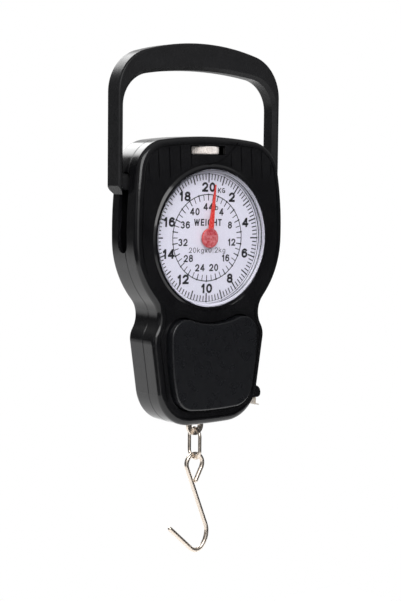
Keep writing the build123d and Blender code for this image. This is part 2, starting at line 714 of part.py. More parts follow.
def handle():
    """A flat bail with tapered inner edges; a catch on each leg runs in the case's slots."""
    outer = handle_outline(HANDLE_OUT, LEG_END, HANDLE_OUT_SPRING, HANDLE_TOP, HANDLE_OUT_R)
    inner = handle_outline(HANDLE_IN, LEG_END - 5, HANDLE_IN_SPRING, GRIP_Z, HANDLE_IN_R)
    bail = slab(outer - inner, HANDLE_FRONT, HANDLE_BACK)
    bail = fillet([e for e in bail.edges() if on_handle_rim(e, outside=True)], HANDLE_ROUND)
    taper = [e for e in bail.edges() if on_handle_rim(e, outside=False)]
    bail = chamfer(taper, HANDLE_TAPER)
    leg_end = Polyline((HANDLE_OUT, LEG_END + 4.2), (HANDLE_IN + 0.4, LEG_END), (HANDLE_IN, LEG_END - 1),
                       (HANDLE_OUT + 2, LEG_END - 1), (HANDLE_OUT + 2, LEG_END + 4.2), close=True)
    bail -= both_sides(slab(make_face(leg_end), 0, 20))
    neck_shape = SlotOverall(CATCH_HIGH - CATCH_LOW, NECK_BACK - NECK_FRONT, rotation=90)
    side = Plane((CATCH_IN, (NECK_FRONT + NECK_BACK) / 2, (CATCH_LOW + CATCH_HIGH) / 2),
                 x_dir=(0, 1, 0), z_dir=(1, 0, 0))
    neck = extrude(side * neck_shape, HANDLE_IN + 0.8 - CATCH_IN)
    plate = block((CATCH_IN, CATCH_IN + 1.9), (SLOT_FRONT - 1.2, SLOT_BACK + 1.2),
                  (CATCH_LOW, CATCH_HIGH + 1.6))
    return one_solid(bail + both_sides(neck + plate))


def on_handle_rim(edge, outside):
    """True for the long front and back edges of the handle's outside or inside loop."""
    p = edge.position_at(0.5)
    on_face = min(abs(p.Y - HANDLE_FRONT), abs(p.Y - HANDLE_BACK)) < 0.01
    beyond = abs(p.X) > HANDLE_OUT - 0.01 or p.Z > GRIP_Z + 3
    return on_face and p.Z > LEG_END + 1 and beyond == outside


def link():
    """A long oval link of round wire, edge-on to the front, through the bar's eye."""
    half, top, low = LINK_HALF, LINK_TOP - LINK_HALF, LINK_BOTTOM + LINK_HALF
    front, back = HANG_Y - half, HANG_Y + half
    path = Wire([
        Line((0, back, low), (0, back, top)),
        ThreePointArc((0, back, top), (0, HANG_Y, LINK_TOP), (0, front, top)),
        Line((0, front, top), (0, front, low)),
        ThreePointArc((0, front, low), (0, HANG_Y, LINK_BOTTOM), (0, back, low)),
    ])
    return one_solid(wire_rod(LINK_WIRE_R, path))


def hook():
    """A steel wire hook with a drop-shaped eye, bent in one plane from the wire's end to the point."""
    eye_top = LINK_BOTTOM + LINK_WIRE_R + HOOK_WIRE_R + 0.05
    rise, shank = radians(HOOK_RISE), radians(HOOK_SHANK)
    eye_centre = (0.0, eye_top - HOOK_EYE_R)
    eye_start = (eye_centre[0] + HOOK_EYE_R * sin(rise), eye_centre[1] - HOOK_EYE_R * cos(rise))
    tail = (eye_start[0] - HOOK_TAIL * cos(rise), eye_start[1] - HOOK_TAIL * sin(rise))
    eye = JernArc(eye_start, (cos(rise), sin(rise)), HOOK_EYE_R, 360 + HOOK_SHANK - HOOK_RISE)
    shank_end = (eye @ 1) + Vector(cos(shank), sin(shank)) * HOOK_SHANK_LENGTH
    wide = JernArc(shank_end, (cos(shank), sin(shank)), HOOK_BEND_R, -(HOOK_SHANK + 135))
    tight = JernArc(wide @ 1, wide % 1, HOOK_TIP_R, -(225 - HOOK_PRONG))
    point = (tight @ 1) + (tight % 1) * HOOK_PRONG_LENGTH
    path = Wire([Line(tail, eye_start), eye, Line(eye @ 1, shank_end), wide, tight, Line(tight @ 1, point)])
    upright = Plane((0, HANG_Y, 0), x_dir=(1, 0, 0), z_dir=(0, -1, 0))
    bent = wire_rod(HOOK_WIRE_R, upright * path)
    ends = [Pos(x, HANG_Y, z) * Sphere(HOOK_WIRE_R) for x, z in (tail, (point.X, point.Y))]
    return one_solid(bent + ends[0] + ends[1])


# ---- tape measure --------------------------------------------------------------------------------
def cup_posts():
    return [(side * 13.5, SPOOL_Z + dz) for dz in (-10.0, 10.0) for side in (-1, 1)]


def tape_line():
    """The straight run of the tape: where it leaves the coil, and where it meets the guide pin."""
    leave_r = WOUND_R + GAP + TAPE_T / 2
    pin = (TAPE_X - TAPE_BEND_R, TAPE_PIN_Z)
    across, down = pin[0], pin[1] - SPOOL_Z
    normal = atan2(down, across) + acos((leave_r - TAPE_BEND_R) / sqrt(across ** 2 + down ** 2))
    start = (leave_r * cos(normal), SPOOL_Z + leave_r * sin(normal))
    end = (pin[0] + TAPE_BEND_R * cos(normal), pin[1] + TAPE_BEND_R * sin(normal))
    return start, end


def tape_path():
    """The tape's route from the coil, round the guide pin and out through the mouth."""
    start, bend_in = tape_line()
    bend_out = (TAPE_X, TAPE_PIN_Z)
    return [Line(start, bend_in), arc_about((TAPE_X - TAPE_BEND_R, TAPE_PIN_Z), bend_in, bend_out),
            Line(bend_out, (TAPE_X, LUG_Z[0]))]


def tape_blade_inner():
    """The stretch of tape between the coil and the mouth."""
    return slab(trace(Wire(tape_path()), TAPE_T), TAPE_FRONT, TAPE_BACK)


def tape_blade_free():
    """The stretch of tape outside the mouth, which grows as the tape is pulled."""
    thickness = (TAPE_X - TAPE_T / 2, TAPE_X + TAPE_T / 2)
    return block(thickness, (TAPE_FRONT, TAPE_BACK), (LUG_Z[0] - 3.4, LUG_Z[0]))


def tape_end_clip():
    """The folded metal clip on the tape's end, with a lip to hold it by."""
    top = LUG_Z[0] - 0.4
    inside, outside = TAPE_X - TAPE_T / 2, TAPE_X + TAPE_T / 2
    section = Polyline((inside, top), (inside, top - 3.0), (outside, top - 3.0), (outside, top),
                       (outside + CLIP_T, top), (outside + CLIP_T, top - 3.1), (outside + 2.6, top - 3.6),
                       (outside + 2.6, top - 3.6 - CLIP_T), (inside - CLIP_T, top - 3.0 - CLIP_T),
                       (inside - CLIP_T, top), close=True)
    clip = slab(make_face(section), TAPE_FRONT - 0.6, TAPE_BACK + 0.6)
    return one_solid(clip)


def tape_cup():
    """The round housing behind the button, with the hollow arbor that the spool turns on."""
    cup = disc(CUP_R, *CUP_PLATE, z=SPOOL_Z)
    cup += ring(CUP_R, CUP_R - CUP_WALL, CUP_RIM, CUP_PLATE[0], z=SPOOL_Z)
    cup += disc(ARBOR_R, 0.9, CUP_PLATE[0], z=SPOOL_Z)
    cup -= disc(ARBOR_BORE, 0, CUP_PLATE[0], z=SPOOL_Z)
    start, bend_in = tape_line()
    cup -= slab(trace(Line(toward(start, bend_in, 8), bend_in), 4.0), -2, TAPE_BACK + 0.5)
    for x, z in cup_posts():
        cup -= disc(1.1, 0, 10, x, z)
        cup -= turned_at(x, z, [(0, CUP_PLATE[0]), (1.95, CUP_PLATE[0]), (1.1, CUP_PLATE[0] + 0.85), (0, 8)])
    return one_solid(cup)


def turned_at(x, z, points):
    return Pos(x, 0, z) * turned(points)


def cup_screws():
    """Countersunk screws that fasten the tape housing to the rear shell."""
    front = CUP_PLATE[0] + 0.03
    profile = [(0, front), (1.88, front), (1.03, front + 0.84), (0.93, front + 0.86), (0.93, 13.0),
               (0, 13.6)]
    return Compound(children=[turned_at(x, z, profile) for x, z in cup_posts()])


def tape_spool():
    spool = ring(SPOOL_R, 2.5, -0.35, 0.3, z=SPOOL_Z)
    spool += ring(DRUM_R, DRUM_R - 1.0, 0.3, 5.8, z=SPOOL_Z)
    spool += ring(SPOOL_R, DRUM_R - 1.0, 5.2, 5.8, z=SPOOL_Z)
    spool += ring(ARBOR_R + 1.2, ARBOR_R + 0.06, 0.3, 2.4, z=SPOOL_Z)
    for i in range(6):
        angle = radians(60 * i)
        spool -= disc(1.3, -1, 0.3, 9.2 * cos(angle), SPOOL_Z + 9.2 * sin(angle))
    return one_solid(spool)


def tape_wound():
    return ring(WOUND_R, DRUM_R + 0.02, TAPE_FRONT, TAPE_BACK, z=SPOOL_Z)


def spiral_spring():
    """The flat spring inside the drum that winds the tape back, as a strip of half turns."""
    edges = []
    radius, centre, side = 6.6, 0.0, 1
    at = (radius, 0.0)
    for _ in range(13):
        far = (centre - side * radius, 0.0)
        edges.append(ThreePointArc(at, (centre, side * radius), far))
        at = far
        radius += 0.15
        side = -side
        centre = at[0] - side * radius
    strip = trace(Wire(edges), 0.2)
    return one_solid(slab(Pos(0, SPOOL_Z) * strip, 2.8, 5.0))


def tape_guide_pin():
    return disc(TAPE_PIN_R, LUG_Y[0] + 0.55, LUG_Y[1] - 0.55, TAPE_X - TAPE_BEND_R, TAPE_PIN_Z)


def tape_button():
    """The large pad in the face: a shallow cap, with four lips behind the face and a plunger socket."""
    outline = pad_outline()
    back = BUTTON_RIM[1]
    cap = slab(outline, BUTTON_FRONT, back)
    cap = fillet(cap.faces().sort_by(Axis.Y)[0].edges(), 0.9)
    cap -= slab(offset(outline, -BUTTON_WALL), BUTTON_FRONT + BUTTON_WALL, back)
    cross = Pos(0, SPOOL_Z) * Rectangle(16, 60) + Pos(0, SPOOL_Z) * Rectangle(70, 16)
    cap += slab((offset(outline, BUTTON_GAP + 0.8) - offset(outline, -0.5)) & cross, *BUTTON_RIM)
    socket = disc(3.6, BUTTON_FRONT + BUTTON_WALL, -3.0, z=SPOOL_Z)
    cap += socket - disc(PLUNGER_R + 0.01, -6.0, -3.0, z=SPOOL_Z)
    return one_solid(cap)


def brake_plunger():
    """The button's stem, with the collar that holds the brake ring against the spool from inside."""
    stem = disc(PLUNGER_R, -6.0, BRAKE_Y[1], z=SPOOL_Z)
    return one_solid(stem + disc(ARBOR_BORE - 0.25, *BRAKE_Y, z=SPOOL_Z))


def brake_ring():
    return ring(ARBOR_BORE - 0.4, 2.7, 0.5, BRAKE_Y[0], z=SPOOL_Z)


def button_spring():
    """The coil spring in the arbor that pushes the plunger and the button out."""
    length = CUP_PLATE[0] - BRAKE_Y[1] - 0.9
    path = Helix(pitch=length / 3.5, height=length, radius=3.1)
    section = Plane(path @ 0, z_dir=path % 0) * Circle(0.32)
    coil = sweep(section, path=path, is_frenet=True)
    return one_solid(Pos(0, BRAKE_Y[1] + 0.45, SPOOL_Z) * Rot(-90, 0, 0) * coil)


SHELLS = {
    "front_shell": front_shell, "rear_shell": rear_shell, "case_screws": case_screws,
    "lens": lens, "handle": handle,
}
DIAL_AND_TRAIN = {
    "dial_plate": dial_plate, "dial_spacer": dial_spacer,
    "chassis": chassis, "chassis_screws": chassis_screws,
    "front_bush": front_bush, "rear_bush": rear_bush, "rack_guide": rack_guide,
    "pointer": pointer, "pointer_shaft": pointer_shaft, "pinion": pinion,
    "rack": rack, "yoke": yoke, "load_bar": load_bar, "yoke_rivets": yoke_rivets,
    "zero_bracket": zero_bracket, "bracket_screws": bracket_screws,
    "hanger": hanger, "zero_wheel": zero_wheel,
    "link": link, "hook": hook,
}
TAPE_MEASURE = {
    "tape_button": tape_button, "brake_plunger": brake_plunger, "brake_ring": brake_ring,
    "button_spring": button_spring, "tape_cup": tape_cup, "cup_screws": cup_screws, "tape_spool": tape_spool,
    "tape_wound": tape_wound, "spiral_spring": spiral_spring, "tape_guide_pin": tape_guide_pin,
    "tape_blade_inner": tape_blade_inner, "tape_blade_free": tape_blade_free, "tape_end_clip": tape_end_clip,
}


def main():
    os.makedirs("parts", exist_ok=True)
    for group in (SHELLS, DIAL_AND_TRAIN, TAPE_MEASURE):
        for name, make in group.items():
            save(name, make())
    spring = load_spring()
    save("spring_left", Pos(-SPRING_X, 0, 0) * spring)
    save("spring_right", Pos(SPRING_X, 0, 0) * spring)


main()
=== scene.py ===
"""Looks of the hanging dial scale: materials, printing, springs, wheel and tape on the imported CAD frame."""

import json
import math

import bmesh
import bpy
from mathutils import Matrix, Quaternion, Vector


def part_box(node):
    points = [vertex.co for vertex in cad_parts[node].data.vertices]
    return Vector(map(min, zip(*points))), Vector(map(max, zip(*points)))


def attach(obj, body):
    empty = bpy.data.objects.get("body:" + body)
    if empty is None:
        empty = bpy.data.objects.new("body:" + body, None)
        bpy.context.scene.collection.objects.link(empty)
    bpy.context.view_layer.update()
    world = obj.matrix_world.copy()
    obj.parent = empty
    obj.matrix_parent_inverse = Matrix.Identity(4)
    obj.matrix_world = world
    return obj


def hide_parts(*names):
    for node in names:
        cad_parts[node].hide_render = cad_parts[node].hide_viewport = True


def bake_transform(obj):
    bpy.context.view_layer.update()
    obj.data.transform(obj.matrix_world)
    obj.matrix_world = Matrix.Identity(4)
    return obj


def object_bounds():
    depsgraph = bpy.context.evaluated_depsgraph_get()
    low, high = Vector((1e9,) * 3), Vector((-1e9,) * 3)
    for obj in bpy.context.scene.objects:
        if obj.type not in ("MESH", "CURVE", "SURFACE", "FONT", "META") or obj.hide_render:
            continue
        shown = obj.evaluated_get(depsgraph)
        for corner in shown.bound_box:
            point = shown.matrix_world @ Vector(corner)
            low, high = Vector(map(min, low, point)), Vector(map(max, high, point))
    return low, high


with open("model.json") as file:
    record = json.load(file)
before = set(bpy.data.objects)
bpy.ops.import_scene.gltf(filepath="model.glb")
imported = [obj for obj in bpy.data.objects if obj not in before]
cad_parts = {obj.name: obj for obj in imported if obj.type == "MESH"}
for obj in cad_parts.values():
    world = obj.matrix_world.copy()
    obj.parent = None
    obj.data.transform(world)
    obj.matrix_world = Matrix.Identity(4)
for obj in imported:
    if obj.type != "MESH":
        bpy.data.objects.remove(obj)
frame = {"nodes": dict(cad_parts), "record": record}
NODES = frame["nodes"]
cad_low, cad_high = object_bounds()
MM = 0.001


# ---- places, from the frame ------------------------------------------------------------------------------
def middle(node):
    """The middle of a CAD node's box."""
    low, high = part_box(node)
    return (low + high) / 2


DIAL = middle("dial_plate")
DIAL.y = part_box("dial_plate")[0].y          # centre of the dial's printed face


def at(x, y, z):
    """A point given in millimetres from the centre of the dial's face: right, back, up."""
    return DIAL + Vector((x, y, z)) * MM


def clock(radius, degrees):
    """(x, z) in millimetres at a clockwise angle from the top of the dial."""
    turn = math.radians(degrees)
    return radius * math.sin(turn), radius * math.cos(turn)


# ---- mesh helpers ---------------------------------------------------------------------------------------
def new_object(name, mesh, body):
    """An object in the scene that rides on a body, or on none."""
    piece = bpy.data.objects.new(name, mesh)
    bpy.context.scene.collection.objects.link(piece)
    if body:
        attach(piece, body)
    return piece


def mesh_of(name, points, faces, smooth_below=40):
    """A mesh with its faces turned outward, smooth except at edges sharper than an angle in degrees."""
    mesh = bpy.data.meshes.new(name)
    mesh.from_pydata([tuple(p) for p in points], [], faces)
    work = bmesh.new()
    work.from_mesh(mesh)
    bmesh.ops.recalc_face_normals(work, faces=work.faces)
    limit = math.radians(smooth_below)
    for face in work.faces:
        face.smooth = smooth_below > 0
    for edge in work.edges:
        edge.smooth = len(edge.link_faces) == 2 and edge.calc_face_angle(0) < limit
    work.to_mesh(mesh)
    work.free()
    return mesh


def ring_faces(start, rings, sides, closed_rings=False):
    """Faces between rings of points that follow one another."""
    faces = []
    for i in range(rings if closed_rings else rings - 1):
        j = (i + 1) % rings
        for k in range(sides):
            m = (k + 1) % sides
            faces.append((start + i * sides + k, start + i * sides + m,
                          start + j * sides + m, start + j * sides + k))
    return faces


def tube(name, path, radius, sides=12):
    """Round wire along points, with domed ends."""
    tangents = []
    for i in range(len(path)):
        before, after = path[max(i - 1, 0)], path[min(i + 1, len(path) - 1)]
        tangents.append((after - before).normalized())
    side = tangents[0].orthogonal().normalized()
    rings = []
    for place, tangent in zip(path, tangents):
        side = (side - tangent * side.dot(tangent)).normalized()
        rings.append((place, side.copy(), tangent.cross(side), radius))
    dome = [(math.sin(math.radians(a)), math.cos(math.radians(a))) for a in (85, 60, 30)]
    first, last = rings[0], rings[-1]
    start = [(first[0] - tangents[0] * radius * s, first[1], first[2], radius * c) for s, c in dome]
    end = [(last[0] + tangents[-1] * radius * s, last[1], last[2], radius * c) for s, c in reversed(dome)]
    rings = start + rings + end
    points = []
    for centre, a, b, r in rings:
        for k in range(sides):
            turn = 2 * math.pi * k / sides
            points.append(centre + (a * math.cos(turn) + b * math.sin(turn)) * r)
    faces = ring_faces(0, len(rings), sides)
    faces.append(tuple(range(sides)))
    faces.append(tuple((len(rings) - 1) * sides + k for k in range(sides)))
    return mesh_of(name, points, faces)


# ---- materials -------------------------------------------------------------------------------------------
NOISE_SPAN = (0.3, 0.7)       # most of the noise lies between these values


class Shader:
    """A Principled material with short ways to add noise to its colour, roughness and surface."""

    def __init__(self, name, colour, roughness, **values):
        self.material = bpy.data.materials.new(name)
        self.material.use_nodes = True
        self.tree = self.material.node_tree
        self.bsdf = self.tree.nodes["Principled BSDF"]
        self.bsdf.inputs["Base Color"].default_value = (*colour, 1)
        self.bsdf.inputs["Roughness"].default_value = roughness
        for key, value in values.items():
            self.bsdf.inputs[key.replace("_", " ")].default_value = value
        self.where = self.node("ShaderNodeTexCoord").outputs["Object"]

    def node(self, kind, **settings):
        made = self.tree.nodes.new(kind)
        for key, value in settings.items():
            setattr(made, key, value)
        return made

    def link(self, a, b):
        self.tree.links.new(a, b)

    def noise(self, size_mm, detail=3.0, stretch=(1, 1, 1)):
        """Noise whose blotches are about a size across."""
        mapping = self.node("ShaderNodeMapping")
        mapping.inputs["Scale"].default_value = [1 / (size_mm * MM) / s for s in stretch]
        self.link(self.where, mapping.inputs["Vector"])
        texture = self.node("ShaderNodeTexNoise")
        texture.inputs["Scale"].default_value = 1.0
        texture.inputs["Detail"].default_value = detail
        self.link(mapping.outputs["Vector"], texture.inputs["Vector"])
        return texture.outputs["Fac"]

    def span(self, value, low, high, source=NOISE_SPAN):
        """Maps a value between the limits of its source to a range."""
        ramp = self.node("ShaderNodeMapRange")
        ramp.inputs["From Min"].default_value = source[0]
        ramp.inputs["From Max"].default_value = source[1]
        ramp.inputs["To Min"].default_value = low
        ramp.inputs["To Max"].default_value = high
        self.link(value, ramp.inputs["Value"])
        return ramp.outputs["Result"]

    def rough(self, size_mm, low, high, **options):
        """Varies the roughness between two values."""
        self.link(self.span(self.noise(size_mm, **options), low, high), self.bsdf.inputs["Roughness"])

    def cloud(self, size_mm, a, b, source=NOISE_SPAN, **options):
        """Noise between two colours."""
        ramp = self.node("ShaderNodeValToRGB")
        for element, position, colour in zip(ramp.color_ramp.elements, source, (a, b)):
            element.position = position
            element.color = (*colour, 1)
        self.link(self.noise(size_mm, **options), ramp.inputs["Fac"])
        return ramp.outputs["Color"]

    def tint(self, size_mm, a, b, **options):
        """Varies the base colour between two colours."""
        self.link(self.cloud(size_mm, a, b, **options), self.bsdf.inputs["Base Color"])

    def bump(self, size_mm, height_mm, **options):
        """Adds noise of a height to the surface, on top of any bump that is there."""
        bump = self.node("ShaderNodeBump")
        bump.inputs["Strength"].default_value = 1.0
        bump.inputs["Distance"].default_value = height_mm * MM
        self.link(self.noise(size_mm, **options), bump.inputs["Height"])
        if self.bsdf.inputs["Normal"].is_linked:
            self.link(self.bsdf.inputs["Normal"].links[0].from_socket, bump.inputs["Normal"])
        self.link(bump.outputs["Normal"], self.bsdf.inputs["Normal"])


def black_gloss(name):
    """Polished moulded plastic, with the slight waviness of a moulding."""
    shader = Shader(name, (0.006, 0.006, 0.007), 0.12, IOR=1.5)
    shader.tint(9, (0.0045, 0.0045, 0.0055), (0.008, 0.008, 0.009))
    shader.rough(3.5, 0.10, 0.20)
    shader.bump(26, 0.05, detail=1.0)
    shader.bump(0.5, 0.0012)
    return shader.material


def black_satin(name, colour, low, high, grain, gloss=0.5):
    """Moulded plastic with a fine grain. low and high limit its roughness, and grain is in millimetres."""
    shader = Shader(name, colour, 0.35, IOR=1.5, Specular_IOR_Level=gloss)
    shader.tint(6, [c * 0.92 for c in colour], [c * 1.08 for c in colour])
    shader.rough(4, low, high, detail=1.0)
    shader.bump(0.32, grain)
    shader.bump(22, 0.04, detail=1.0)
    return shader.material


def metal(name, colour, low, high, stretch=(1, 1, 1), grain=0.002, shine=1.0):
    """Plated or bare metal. stretch draws its grain out along an axis, and grain is in millimetres."""
    shader = Shader(name, colour, 0.2, Metallic=shine)
    shader.tint(3, [c * 0.9 for c in colour], colour)
    shader.rough(1.2, low, high, stretch=stretch)
    shader.bump(0.4, grain, stretch=stretch)
    return shader.material


MAT = {
    "case_black": black_gloss("case_black"),
    "handle_black": black_satin("handle_black", (0.018, 0.018, 0.019), 0.24, 0.30, grain=0.0004,
                                gloss=0.13),
    "pad_black": black_satin("pad_black", (0.0075, 0.008, 0.0098), 0.26, 0.31, grain=0.0002),
    "nickel_wire": metal("nickel_wire", (0.85, 0.755, 0.66), 0.18, 0.28, grain=0.0005),
    "nickel_wheel": metal("nickel_wheel", (0.97, 0.91, 0.87), 0.3, 0.42, shine=0.2),
    "zinc_steel": metal("zinc_steel", (0.60, 0.62, 0.65), 0.25, 0.45, stretch=(1, 1, 6)),
    "spring_steel": metal("spring_steel", (0.36, 0.37, 0.39), 0.25, 0.4),
    "nickel_clip": metal("nickel_clip", (0.93, 0.85, 0.76), 0.32, 0.5, shine=0.45),
    "brass": metal("brass", (0.78, 0.57, 0.27), 0.2, 0.35),
}


def finish_white():
    shader = Shader("white_plastic", (0.78, 0.78, 0.75), 0.45)
    shader.tint(5, (0.74, 0.74, 0.71), (0.8, 0.8, 0.77))
    shader.bump(0.4, 0.003)
    return shader.material


def finish_grey():
    shader = Shader("grey_plastic", (0.07, 0.07, 0.075), 0.45)
    shader.tint(4, (0.06, 0.06, 0.065), (0.085, 0.085, 0.09))
    shader.bump(0.4, 0.003)
    return shader.material


def finish_rubber():
    shader = Shader("brake_rubber", (0.02, 0.02, 0.02), 0.7)
    shader.tint(1, (0.015, 0.015, 0.015), (0.03, 0.03, 0.03))
    shader.bump(0.2, 0.004)
    return shader.material


def finish_dial():
    """Lilac-white paint under a thin coat."""
    shader = Shader("dial_paint", (0.72, 0.70, 0.79), 0.42, Coat_Weight=0.25, Coat_Roughness=0.15)
    shader.tint(1.6, (0.70, 0.685, 0.77), (0.73, 0.715, 0.795), detail=5.0)
    shader.bump(0.35, 0.0016)
    return shader.material


def finish_ink(name, colour):
    shader = Shader(name, colour, 0.5)
    shader.tint(0.5, [c * 0.8 for c in colour], [c * 1.5 for c in colour])
    shader.bump(0.2, 0.001)
    return shader.material


HUB_R = (4.6, 5.2)            # the hub's colour fades into the blade's between these radii, in millimetres
HUB_Y = -2.5                  # from the dial's face to the middle of the pointer


def finish_pointer():
    """Translucent red, paler and cloudier on the hub."""
    shader = Shader("pointer_red", (0.62, 0.045, 0.035), 0.25, Subsurface_Weight=0.25,
                    Subsurface_Scale=0.0012)
    shader.bsdf.inputs["Subsurface Radius"].default_value = (1.0, 0.25, 0.2)
    shader.tint(1.1, (0.58, 0.035, 0.03), (0.70, 0.075, 0.06), detail=4.0)
    blade = shader.bsdf.inputs["Base Color"].links[0].from_socket
    reach = shader.node("ShaderNodeVectorMath", operation="DISTANCE")
    shader.link(shader.where, reach.inputs[0])
    reach.inputs[1].default_value = at(0, HUB_Y, 0)
    on_hub = shader.span(reach.outputs["Value"], 1.0, 0.0, source=[radius * MM for radius in HUB_R])
    hub = shader.cloud(2.0, (0.45, 0.06, 0.07), (0.58, 0.19, 0.20), source=(0.38, 0.66))
    mix = shader.node("ShaderNodeMix", data_type="RGBA")
    for value, socket in ((on_hub, 0), (blade, 6), (hub, 7)):     # factor and the two colours
        shader.link(value, mix.inputs[socket])
    shader.link(mix.outputs[2], shader.bsdf.inputs["Base Color"])
    shader.rough(1.0, 0.18, 0.38)
    shader.bump(0.8, 0.012)
    return shader.material


def finish_clear():
    """The lens, with a faint waviness."""
    shader = Shader("clear_plastic", (0.97, 0.975, 1.0), 0.03, IOR=1.49, Transmission_Weight=1.0)
    shader.rough(4, 0.01, 0.05)
    shader.bump(18, 0.01, detail=1.0)
    return shader.material


def finish_tape():
    """Yellow enamel on the steel blade."""
    shader = Shader("tape_paint", (0.80, 0.62, 0.06), 0.35, Coat_Weight=0.3, Coat_Roughness=0.2)
    shader.tint(2, (0.76, 0.58, 0.05), (0.84, 0.66, 0.08))
    shader.bump(0.3, 0.001)
    return shader.material


MAT["white_plastic"] = finish_white()
MAT["grey_plastic"] = finish_grey()
MAT["white_acetal"] = MAT["white_plastic"]
MAT["brake_rubber"] = finish_rubber()
MAT["dial_print"] = finish_dial()
MAT["ink"] = finish_ink("ink_black", (0.006, 0.006, 0.009))
MAT["pointer_red"] = finish_pointer()
MAT["clear_plastic"] = finish_clear()
MAT["tape_paint"] = finish_tape()

# Two nodes look different from the others of their material slot.
OWN_LOOK = {"tape_button": "pad_black", "tape_end_clip": "nickel_clip"}

for part in frame["record"]["subparts"]:
    node = NODES[part["node"]]
    name = OWN_LOOK.get(part["node"], part["material_slot"])
    node.data.materials.clear()
    node.data.materials.append(MAT[name])


# ---- printing --------------------------------------------------------------------------------------------
DIAL_INK = 0.02               # how far the ink stands proud, in millimetres, as are the next two
DOT_LIFT = 0.004              # how much further its dots do
TAPE_INK = 0.012


class Print:
    """Ink shapes as thin closed solids.

    place(u, v, depth) turns a point of the printed face, in millimetres, into a point in space.
    """

    def __init__(self, place, thickness):
        self.place = place
        self.thickness = thickness
        self.points = []
        self.faces = []

    def polygon(self, corners, lift=0.0):
        """A filled outline. lift raises it above the rest of the ink."""
        start, count = len(self.points), len(corners)
        for depth in (-self.thickness - lift, self.thickness / 2):
            self.points += [self.place(u, v, depth) for u, v in corners]
        front = list(range(start, start + count))
        back = [i + count for i in front]
        self.faces += [tuple(front), tuple(reversed(back))]
        for i in range(count):
            j = (i + 1) % count
            self.faces.append((front[i], back[i], back[j], front[j]))

    def ribbon(self, left, right, closed=False):
        """A band between two rows of points."""
        start, count = len(self.points), len(left)
        for a, b in zip(left, right):
            for (u, v), depth in ((a, -self.thickness), (b, -self.thickness),
                                  (b, self.thickness / 2), (a, self.thickness / 2)):
                self.points.append(self.place(u, v, depth))
        self.faces += ring_faces(start, count, 4, closed_rings=closed)
        if not closed:
            self.faces.append(tuple(range(start, start + 4)))
            self.faces.append(tuple(range(start + 4 * count - 4, start + 4 * count)))

    def tick(self, degrees, outer, inner, width):
        """A line along a radius, at a clockwise angle from the top."""
        x, z = clock(1.0, degrees)
        side_x, side_z = z * width / 2, -x * width / 2
        self.polygon([(x * outer - side_x, z * outer - side_z), (x * outer + side_x, z * outer + side_z),
                      (x * inner + side_x, z * inner + side_z), (x * inner - side_x, z * inner - side_z)])

    def circle(self, radius, width, steps=240):
        """A ring of a line's width round the centre."""
        turns = [360 * i / steps for i in range(steps)]
        outer = [clock(radius + width / 2, turn) for turn in turns]
        inner = [clock(radius - width / 2, turn) for turn in turns]
        self.ribbon(outer, inner, closed=True)

    def dot(self, radius, degrees, size, sides=16):
        """A round spot at a radius and a clockwise angle, just proud of the lines under it."""
        x, z = clock(radius, degrees)
        rim = [clock(size / 2, 360 * i / sides) for i in range(sides)]
        self.polygon([(x + u, z + v) for u, v in rim], lift=DOT_LIFT)

    def text(self, text, u, v, height, weight, width=1.0, spacing=0.16):
        """Characters centred on a place.

        The height is in millimetres. weight, the stroke's width, and spacing are shares of it, and width
        stretches the characters sideways.
        """
        advance = [GLYPHS[c][0] * width * height for c in text]
        half = weight * height / 2
        pen = u - (sum(advance) + spacing * height * (len(text) - 1)) / 2
        for character, wide in zip(text, advance):
            for path, square in GLYPHS[character][1]:
                foot = v - height / 2 + half
                placed = [(pen + half + pu * (wide - 2 * half), foot + pv * (height - 2 * half))
                          for pu, pv in path]
                closed = math.dist(placed[0], placed[-1]) < 1e-6
                left, right = stroke_sides(placed[:-1] if closed else placed, half, square, closed)
                self.ribbon(left, right, closed)
            pen += wide + spacing * height

    def finish(self, name, body, material):
        piece = new_object(name, mesh_of(name, self.points, self.faces, smooth_below=0), body)
        piece.data.materials.append(material)
        return piece


def arc(cx, cy, rx, ry, first, last, steps=20):
    """Points on an ellipse between two angles, counter-clockwise from the right."""
    return [(cx + rx * math.cos(math.radians(first + (last - first) * i / steps)),
             cy + ry * math.sin(math.radians(first + (last - first) * i / steps))) for i in range(steps + 1)]


SQUARE, PLAIN = True, False   # whether a stroke runs on past its ends
STEM = ([(0, 0), (0, 1)], SQUARE)
